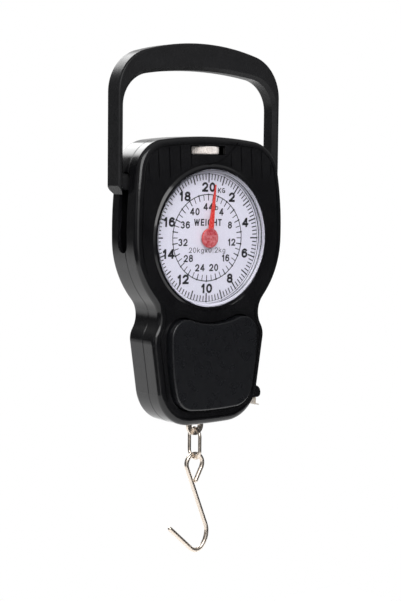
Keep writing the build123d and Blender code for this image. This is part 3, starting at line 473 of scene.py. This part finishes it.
# Each character's width, as a share of the height, and its strokes, as points in a unit square.
GLYPHS = {
    "0": (0.62, [(arc(0.5, 0.5, 0.5, 0.5, 0, 360, 36), PLAIN)]),
    "1": (0.46, [([(0.85, 0), (0.85, 1)], SQUARE),
                 ([(0.0, 0.74), (0.35, 0.79), (0.68, 0.98)], PLAIN)]),
    "2": (0.62, [(arc(0.5, 0.70, 0.5, 0.30, 188, -32) + [(0.55, 0.30), (0.12, 0.02)], PLAIN),
                 ([(0, 0), (1, 0)], SQUARE)]),
    "3": (0.62, [(arc(0.48, 0.77, 0.45, 0.23, 170, -90), PLAIN),
                 (arc(0.5, 0.27, 0.5, 0.27, 90, -170), PLAIN)]),
    "4": (0.66, [([(0.74, 0), (0.74, 1)], SQUARE), ([(0, 0.26), (1, 0.26)], SQUARE),
                 ([(0.02, 0.26), (0.70, 1.0)], PLAIN)]),
    "5": (0.62, [([(0.95, 1), (0.14, 1), (0.04, 0.50)], PLAIN),
                 (arc(0.46, 0.32, 0.52, 0.32, 142, -165), PLAIN)]),
    "6": (0.62, [(arc(0.5, 0.31, 0.5, 0.31, 0, 360, 32), PLAIN),
                 (arc(0.52, 0.60, 0.52, 0.40, 25, 180) + [(0.0, 0.31)], PLAIN)]),
    "7": (0.60, [([(0, 1), (1, 1)], SQUARE), ([(0.97, 0.98), (0.55, 0.45), (0.36, 0.0)], PLAIN)]),
    "8": (0.62, [(arc(0.5, 0.77, 0.42, 0.23, 0, 360, 28), PLAIN),
                 (arc(0.5, 0.27, 0.5, 0.27, 0, 360, 28), PLAIN)]),
    "9": (0.62, [(arc(0.5, 0.69, 0.5, 0.31, 0, 360, 32), PLAIN),
                 (arc(0.48, 0.40, 0.52, 0.40, 205, 360) + [(1.0, 0.69)], PLAIN)]),
    "K": (0.72, [STEM, ([(0.06, 0.36), (1.0, 1.0)], SQUARE), ([(0.36, 0.56), (1.0, 0.0)], SQUARE)]),
    "G": (0.76, [(arc(0.5, 0.5, 0.5, 0.5, 42, 340, 30), PLAIN), ([(0.55, 0.46), (1, 0.46)], SQUARE),
                 ([(1, 0.46), (1, 0.06)], SQUARE)]),
    "l": (0.22, [([(0.5, 0), (0.5, 1)], SQUARE)]),
    "b": (0.60, [STEM, (arc(0.5, 0.33, 0.5, 0.33, 0, 360, 28), PLAIN)]),
    "W": (0.98, [([(0, 1), (0.26, 0)], SQUARE), ([(0.26, 0), (0.5, 0.95)], SQUARE),
                 ([(0.5, 0.95), (0.74, 0)], SQUARE), ([(0.74, 0), (1, 1)], SQUARE)]),
    "E": (0.60, [STEM, ([(0, 0), (1, 0)], SQUARE), ([(0, 0.52), (0.9, 0.52)], SQUARE),
                 ([(0, 1), (1, 1)], SQUARE)]),
    "I": (0.22, [([(0.5, 0), (0.5, 1)], SQUARE)]),
    "H": (0.68, [STEM, ([(1, 0), (1, 1)], SQUARE), ([(0, 0.52), (1, 0.52)], PLAIN)]),
    "T": (0.64, [([(0.5, 0), (0.5, 1)], SQUARE), ([(0, 1), (1, 1)], SQUARE)]),
    "k": (0.56, [STEM, ([(0.05, 0.28), (0.9, 0.66)], SQUARE), ([(0.4, 0.42), (1, 0)], SQUARE)]),
    "g": (0.58, [(arc(0.5, 0.33, 0.5, 0.33, 0, 360, 28), PLAIN),
                 ([(1, 0.66), (1, -0.1)] + arc(0.5, -0.1, 0.5, 0.2, 0, -160, 14), PLAIN)]),
    "x": (0.52, [([(0, 0), (1, 0.64)], SQUARE), ([(0, 0.64), (1, 0)], SQUARE)]),
    ".": (0.24, [([(0.5, 0), (0.5, 0.02)], SQUARE)]),
}


def stroke_sides(path, half, square, closed):
    """The two sides of a stroke along a path. A square stroke runs on past both its ends."""
    path = [Vector(point) for point in path]
    if square:
        path[0] -= (path[1] - path[0]).normalized() * half
        path[-1] += (path[-1] - path[-2]).normalized() * half
    left, right = [], []
    last = len(path) - 1
    for i, point in enumerate(path):
        before = path[i - 1] if i or closed else point
        after = path[(i + 1) % len(path)] if i < last or closed else point
        way = (after - before).normalized()
        side = Vector((-way.y, way.x)) * half
        left.append(point + side)
        right.append(point - side)
    return left, right


# ---- dial ------------------------------------------------------------------------------------------------
DIAL_TURN = math.radians(1.0)  # the printing sits a degree clockwise
# The outer scale shows kilograms and the inner one pounds. Radii are in millimetres, and so are a mark's
# length and width.
KG_FULL = 20
KG_MARKS = 100
KG_R = 32.5
KG_NUMBER_R = 25.8
KG_LONG_MARK, KG_SHORT_MARK = (4.4, 0.72), (3.0, 0.56)
LB_FULL = 44
LB_R = 22.0
LB_NUMBER_R = 15.8
LB_EVEN_MARK, LB_ODD_MARK = (3.0, 0.54), (3.0, 0.44)


def on_dial(x, z, depth):
    """A place on the dial's face: right and up in millimetres, and depth behind the face."""
    turned_x = x * math.cos(DIAL_TURN) + z * math.sin(DIAL_TURN)
    turned_z = z * math.cos(DIAL_TURN) - x * math.sin(DIAL_TURN)
    return at(turned_x, depth, turned_z)


def print_dial():
    """Both scales with their rings, marks, numbers and units."""
    ink = Print(on_dial, DIAL_INK)
    for i in range(KG_MARKS):
        turn = 360 * i / KG_MARKS
        numbered = i % 5 == 0
        length, width = KG_LONG_MARK if numbered else KG_SHORT_MARK
        ink.tick(turn, KG_R, KG_R - length, width)
        if numbered:
            ink.dot(KG_R, turn, 0.95)
    ink.circle(KG_R, 0.2)
    ink.circle(LB_R, 0.48)
    for lb in range(LB_FULL):
        turn = 360 * lb / LB_FULL
        even = lb % 2 == 0
        length, width = LB_EVEN_MARK if even else LB_ODD_MARK
        ink.tick(turn, LB_R, LB_R - length, width)
        if even:
            ink.dot(LB_R, turn, 1.05)
    for kg in range(2, KG_FULL + 1, 2):
        x, z = clock(KG_NUMBER_R, 360 * kg / KG_FULL)
        ink.text(str(kg), x, z, height=4.9, weight=0.235, width=1.28)
    for lb in range(4, LB_FULL + 1, 4):
        x, z = clock(LB_NUMBER_R, 360 * lb / LB_FULL)
        ink.text(str(lb), x, z, height=3.7, weight=0.20, width=1.15)
    ink.text("KG", 8.3, 24.2, height=2.6, weight=0.19, width=1.1)
    ink.text("lb", 4.8, 15.6, height=3.0, weight=0.15, width=1.1)
    ink.text("WEIGHT", 0, 7.9, height=3.5, weight=0.2, width=1.05, spacing=0.2)
    ink.text("20kgx0.2kg", 0, -6.2, height=2.7, weight=0.12, width=1.15, spacing=0.26)
    ink.finish("dial_printing", "case", MAT["ink"])


# ---- springs ---------------------------------------------------------------------------------------------
SPRING_TURNS = 23
SPRING_STEPS = 28             # points round each turn
SPRING_WIRE_R = 0.65          # millimetres, as are the next two
HOOK_LEG = 4.0                # straight part of a spring's end hook
HOOK_TAIL = 1.6
BUTTON_SPRING_TURNS = 3.5
BUTTON_SPRING_STEPS = 32
BUTTON_SPRING_WIRE_R = 0.32


def eased(path, rounds=2):
    """The path with its corners eased."""
    for _ in range(rounds):
        path = [path[0]] + [(a + 2 * b + c) / 4 for a, b, c in zip(path, path[1:], path[2:])] + [path[-1]]
    return path


def spring_end(coil_r, z, way):
    """The end hook's points, from the coil outward. way is 1 at the top and -1 below."""
    bend = z + way * HOOK_LEG
    points = [Vector((0, coil_r, z + way * HOOK_LEG * i / 5)) for i in range(1, 6)]
    for i in range(1, 11):
        turn = math.pi * i / 10
        points.append(Vector((0, coil_r * math.cos(turn), bend + way * coil_r * math.sin(turn))))
    points += [Vector((0, -coil_r, bend - way * HOOK_TAIL * i / 3)) for i in range(1, 4)]
    return points


def wire_piece(name, node, path, radius):
    """Spring wire along a path, in place of a CAD node."""
    piece = new_object(name, tube(name, path, radius), None)
    piece.data.materials.append(MAT["spring_steel"])
    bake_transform(piece)
    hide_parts(node)


def load_spring(name):
    """A load spring, made as two pieces of wire: its coils with the bottom hook, and its top hook."""
    low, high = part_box(name)
    middle_x, middle_y = (low.x + high.x) / 2, (low.y + high.y) / 2
    wire_r = SPRING_WIRE_R * MM
    coil_r = (high.x - low.x) / 2 - wire_r
    end = HOOK_LEG * MM + coil_r + wire_r
    bottom, top = (low.z + end) / MM, (high.z - end) / MM
    r = coil_r / MM
    coil = []
    for i in range(SPRING_TURNS * SPRING_STEPS + 1):
        turn = 2 * math.pi * i / SPRING_STEPS
        height = bottom + (top - bottom) * i / (SPRING_TURNS * SPRING_STEPS)
        coil.append(Vector((-r * math.sin(turn), r * math.cos(turn), height)))
    top_hook = spring_end(r, top, 1)
    path = spring_end(r, bottom, -1)[::-1] + coil + top_hook
    path = [Vector((middle_x, middle_y, 0)) + p * MM for p in eased(path)]
    split = len(path) - len(top_hook) - 1
    wire_piece(name + "_coils", name, path[:split + 1], wire_r)
    wire_piece(name + "_top_hook", name, path[split:], wire_r)


def make_button_spring():
    """The spring in the arbor that pushes the tape button out."""
    low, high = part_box("button_spring")
    centre = (low + high) / 2
    wire_r = BUTTON_SPRING_WIRE_R * MM
    coil_r = (high.x - low.x) / 2 - wire_r
    last = int(BUTTON_SPRING_TURNS * BUTTON_SPRING_STEPS)
    path = []
    for i in range(last + 1):
        turn = 2 * math.pi * i / BUTTON_SPRING_STEPS
        y = low.y + wire_r + (high.y - low.y - 2 * wire_r) * i / last
        path.append(Vector((centre.x + coil_r * math.cos(turn), y, centre.z + coil_r * math.sin(turn))))
    wire_piece("button_spring_wire", "button_spring", path, wire_r)


# ---- zero wheel ------------------------------------------------------------------------------------------
WHEEL_TEETH = 60
TOOTH_STEPS = 6               # points round each tooth
TOOTH_DEPTH = 0.42            # millimetres, as are the rest
WHEEL_R = 9.6
WHEEL_BORE_R = 2.05
WHEEL_SHOULDER_R = 4.0
WHEEL_RIM = 3.9               # height of the knurled rim
RIM_EDGE = 0.4


def make_zero_wheel():
    """The knurled nut, with a straight knurl on its edge and a shoulder under it."""
    low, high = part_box("zero_wheel")
    centre = (low + high) / 2
    top = (high.z - low.z) / MM
    foot = top - WHEEL_RIM
    # (radius, height, share of the knurl's depth), from the bore over the dished top and down the rim
    profile = [(WHEEL_BORE_R, top, 0), (5.2, top, 0), (5.6, top - RIM_EDGE, 0),
               (8.2, top - RIM_EDGE, 0), (8.6, top, 0), (9.15, top, 0.3),
               (WHEEL_R, top - RIM_EDGE, 1), (WHEEL_R, foot + RIM_EDGE, 1), (9.15, foot, 0.3),
               (WHEEL_SHOULDER_R, foot, 0), (WHEEL_SHOULDER_R, 0, 0), (WHEEL_BORE_R, 0, 0)]
    points = []
    steps = WHEEL_TEETH * TOOTH_STEPS
    for i in range(steps):
        turn = 2 * math.pi * i / steps
        from_groove = abs((i % TOOTH_STEPS) / (TOOTH_STEPS / 2) - 1)
        cut = TOOTH_DEPTH * (1 - min(from_groove * 1.6, 1))
        for radius, height, share in profile:
            r = (radius - cut * share) * MM
            x, y = centre.x + r * math.sin(turn), centre.y - r * math.cos(turn)
            points.append(Vector((x, y, low.z + height * MM)))
    faces = ring_faces(0, steps, len(profile), closed_rings=True)
    mesh = mesh_of("zero_wheel_knurled", points, faces, smooth_below=25)
    piece = new_object("zero_wheel_knurled", mesh, "zero_wheel")
    piece.data.materials.append(MAT["nickel_wheel"])
    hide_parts("zero_wheel")


# ---- tape ------------------------------------------------------------------------------------------------
TAPE_TRAVEL = 1000            # millimetres that the tape pulls out
TAPE_ROWS = 201
# Each mark's half length along the tape and its end across the tape, in millimetres
CENTIMETRE_MARK = (0.25, 1.5)
HALF_MARK = (0.15, 1.0)
MARK_START = 0.1              # from the edge of the tape


def share_of(length, rest):
    """Where a point of the pulled-out tape lies at rest, from the mouth (0) to the clip (1).

    length is from the mouth to the point, and rest is from the mouth to the clip at rest.
    """
    low, high = 0.0, 1.0
    for _ in range(50):
        t = (low + high) / 2
        reach = rest * t + TAPE_TRAVEL * t * t * (3 - 2 * t)
        low, high = (t, high) if reach < length else (low, t)
    return (low + high) / 2


def make_tape():
    """The blade outside the mouth. Its rows lie so that they are even when the tape is pulled out."""
    low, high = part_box("tape_blade_free")
    rest = (high.z - low.z) / MM
    middle_x = (low.x + high.x) / 2
    full = rest + TAPE_TRAVEL
    half_t = (high.x - low.x) / 2
    width = (high.y - low.y) / MM

    def row_z(length):
        return high.z - share_of(length, rest) * (high.z - low.z)

    points = []
    for i in range(TAPE_ROWS):
        z = row_z(full * i / (TAPE_ROWS - 1))
        for x, y in ((-1, 0), (1, 0), (1, 1), (-1, 1)):
            points.append(Vector((middle_x + x * half_t, low.y + y * width * MM, z)))
    faces = ring_faces(0, TAPE_ROWS, 4) + [(0, 1, 2, 3), tuple(range(TAPE_ROWS * 4 - 4, TAPE_ROWS * 4))]
    blade = new_object("tape_blade_drawn", mesh_of("tape_blade_drawn", points, faces, 30), None)
    blade.data.materials.append(MAT["tape_paint"])
    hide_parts("tape_blade_free")

    pieces = [blade]
    for name, side in (("tape_marks_left", -1), ("tape_marks_right", 1)):
        def on_blade(u, v, depth, side=side):
            # u runs across the blade and v from the clip towards the mouth
            across = u if side < 0 else width - u
            z = row_z(min(max(full - v, 0.0), full))
            return Vector((middle_x + side * (half_t - depth * MM), low.y + across * MM, z))

        ink = Print(on_blade, TAPE_INK)
        for mark in range(10, TAPE_TRAVEL + 1, 10):
            for place, (half, reach) in ((mark, CENTIMETRE_MARK), (mark - 5, HALF_MARK)):
                ink.polygon([(MARK_START, place - half), (reach, place - half),
                             (reach, place + half), (MARK_START, place + half)])
            if mark % 20 == 0:
                label = str(mark // 10)
                narrow = len(label) > 2
                ink.text(label, 3.0, mark - 2.6, height=2.2, weight=0.17, width=0.6 if narrow else 0.85)
        pieces.append(ink.finish(name, None, MAT["ink"]))
    for piece in pieces:
        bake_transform(piece)


print_dial()
load_spring("spring_left")
load_spring("spring_right")
make_button_spring()
make_zero_wheel()
make_tape()


# ---- studio ----------------------------------------------------------------------------------------------
CAMERA_AZIMUTH = -37.6        # degrees, as are the next two
CAMERA_ELEVATION = 5.3
CAMERA_ROLL = 0.63
CAMERA_DISTANCE = 719.6       # millimetres, from the point looked at
CAMERA_LENS = 84.64
CAMERA_SENSOR = 36.0
LOOK_AT = (-4.1, -0.6, -31.8)  # millimetres, from the centre of the dial's face
FLOOR_DROP = 1.02             # metres below the object, clear of the tape at its full length
FLOOR_HALF = 2.4              # metres, as are the next two
KEY_DISTANCE = 0.95
KEY_SIZE = 0.7
KEY_WAY = (-0.40, -0.72, 0.56)
KEY_RADIANCE = 4.0
SKY = (0.05, 0.45)            # strength of the soft light from the horizon and from above


def make_camera():
    """The main view, from the left of the front and a little above."""
    azimuth, elevation = math.radians(CAMERA_AZIMUTH), math.radians(CAMERA_ELEVATION)
    back = Vector((math.sin(azimuth) * math.cos(elevation), -math.cos(azimuth) * math.cos(elevation),
                   math.sin(elevation)))
    data = bpy.data.cameras.new("camera")
    data.lens = CAMERA_LENS
    data.sensor_width = CAMERA_SENSOR
    data.clip_start, data.clip_end = 0.01, 200.0
    camera = bpy.data.objects.new("camera", data)
    bpy.context.scene.collection.objects.link(camera)
    camera.location = at(*LOOK_AT) + back * CAMERA_DISTANCE * MM
    camera.rotation_mode = "QUATERNION"
    roll = Quaternion((0, 0, 1), math.radians(CAMERA_ROLL))
    camera.rotation_quaternion = (-back).to_track_quat("-Z", "Y") @ roll
    bpy.context.scene.camera = camera


def make_key():
    """A square softbox from the front, with a set radiance as seen from the object."""
    centre = (cad_low + cad_high) / 2
    data = bpy.data.lights.new("key", "AREA")
    data.shape = "RECTANGLE"
    data.size, data.size_y = KEY_SIZE, KEY_SIZE
    data.energy = KEY_RADIANCE * math.pi * KEY_SIZE * KEY_SIZE
    light = bpy.data.objects.new("key", data)
    bpy.context.scene.collection.objects.link(light)
    light.location = centre + Vector(KEY_WAY).normalized() * KEY_DISTANCE
    light.rotation_mode = "QUATERNION"
    light.rotation_quaternion = (centre - light.location).to_track_quat("-Z", "Y")
    light.visible_camera = False


# Soft bright patches of the studio: (direction, angle inside which it is full, angle outside which it is
# nothing, radiance). The directions are from the object.
PATCHES = [
    ((0.05, 0.79, 0.61), 9, 23, 8.0),
    ((0.50, 0.80, 0.30), 12, 30, 0.7),
    ((-0.76, 0.65, -0.02), 8, 24, 0.03),
    ((-0.42, 0.74, -0.53), 8, 30, 1.5),
    ((0.25, 0.80, -0.54), 12, 32, 2.4),
    ((-0.97, -0.20, 0.12), 4, 16, 0.4),
    ((-0.50, -0.86, 0.08), 8, 25, 1.1),
]


def make_world():
    """Soft light from all round and the bright patches. The camera sees plain white past the floor."""
    world = bpy.data.worlds.new("studio")
    bpy.context.scene.world = world
    world.use_nodes = True
    tree = world.node_tree
    tree.nodes.clear()

    def node(kind, **settings):
        made = tree.nodes.new(kind)
        for key, value in settings.items():
            setattr(made, key, value)
        return made

    where = node("ShaderNodeTexCoord").outputs["Generated"]
    parts = node("ShaderNodeSeparateXYZ")
    tree.links.new(where, parts.inputs[0])
    up = node("ShaderNodeMapRange", interpolation_type="SMOOTHSTEP")
    up.inputs["From Min"].default_value = -0.1
    up.inputs["From Max"].default_value = 1.0
    up.inputs["To Min"].default_value = SKY[0]
    up.inputs["To Max"].default_value = SKY[1]
    tree.links.new(parts.outputs["Z"], up.inputs["Value"])
    strength = up.outputs["Result"]
    for way, inner, outer, radiance in PATCHES:
        facing = node("ShaderNodeVectorMath", operation="DOT_PRODUCT")
        tree.links.new(where, facing.inputs[0])
        facing.inputs[1].default_value = Vector(way).normalized()
        edge = node("ShaderNodeMapRange", interpolation_type="SMOOTHSTEP")
        edge.inputs["From Min"].default_value = math.cos(math.radians(outer))
        edge.inputs["From Max"].default_value = math.cos(math.radians(inner))
        edge.inputs["To Max"].default_value = radiance
        tree.links.new(facing.outputs["Value"], edge.inputs["Value"])
        total = node("ShaderNodeMath", operation="ADD")
        tree.links.new(strength, total.inputs[0])
        tree.links.new(edge.outputs["Result"], total.inputs[1])
        strength = total.outputs[0]
    light = node("ShaderNodeBackground")
    tree.links.new(strength, light.inputs["Strength"])
    seen = node("ShaderNodeBackground")
    seen.inputs["Strength"].default_value = 1.0
    seen.inputs["Color"].default_value = (1, 1, 1, 1)
    path = node("ShaderNodeLightPath")
    mix = node("ShaderNodeMixShader")
    tree.links.new(path.outputs["Is Camera Ray"], mix.inputs["Fac"])
    tree.links.new(light.outputs[0], mix.inputs[1])
    tree.links.new(seen.outputs[0], mix.inputs[2])
    out = node("ShaderNodeOutputWorld")
    tree.links.new(mix.outputs[0], out.inputs["Surface"])


def make_floor():
    """White paper far enough below for the tape, with a glow that keeps it white."""
    z = cad_low.z - FLOOR_DROP
    corners = [(x * FLOOR_HALF, y * FLOOR_HALF, z) for x, y in ((-1, -1), (1, -1), (1, 1), (-1, 1))]
    floor = new_object("floor", mesh_of("floor", corners, [(0, 1, 2, 3)]), None)
    shader = Shader("floor_paper", (0.9, 0.9, 0.9), 0.9)
    shader.tint(120, (0.88, 0.88, 0.88), (0.92, 0.92, 0.92))
    shader.bsdf.inputs["Emission Color"].default_value = (1, 1, 1, 1)
    shader.bsdf.inputs["Emission Strength"].default_value = 0.5
    floor.data.materials.append(shader.material)


make_camera()
make_world()
make_floor()
make_key()
NODES["lens"].visible_shadow = False
bpy.context.scene.view_settings.view_transform = "Standard"
bpy.context.scene.view_settings.look = "None"
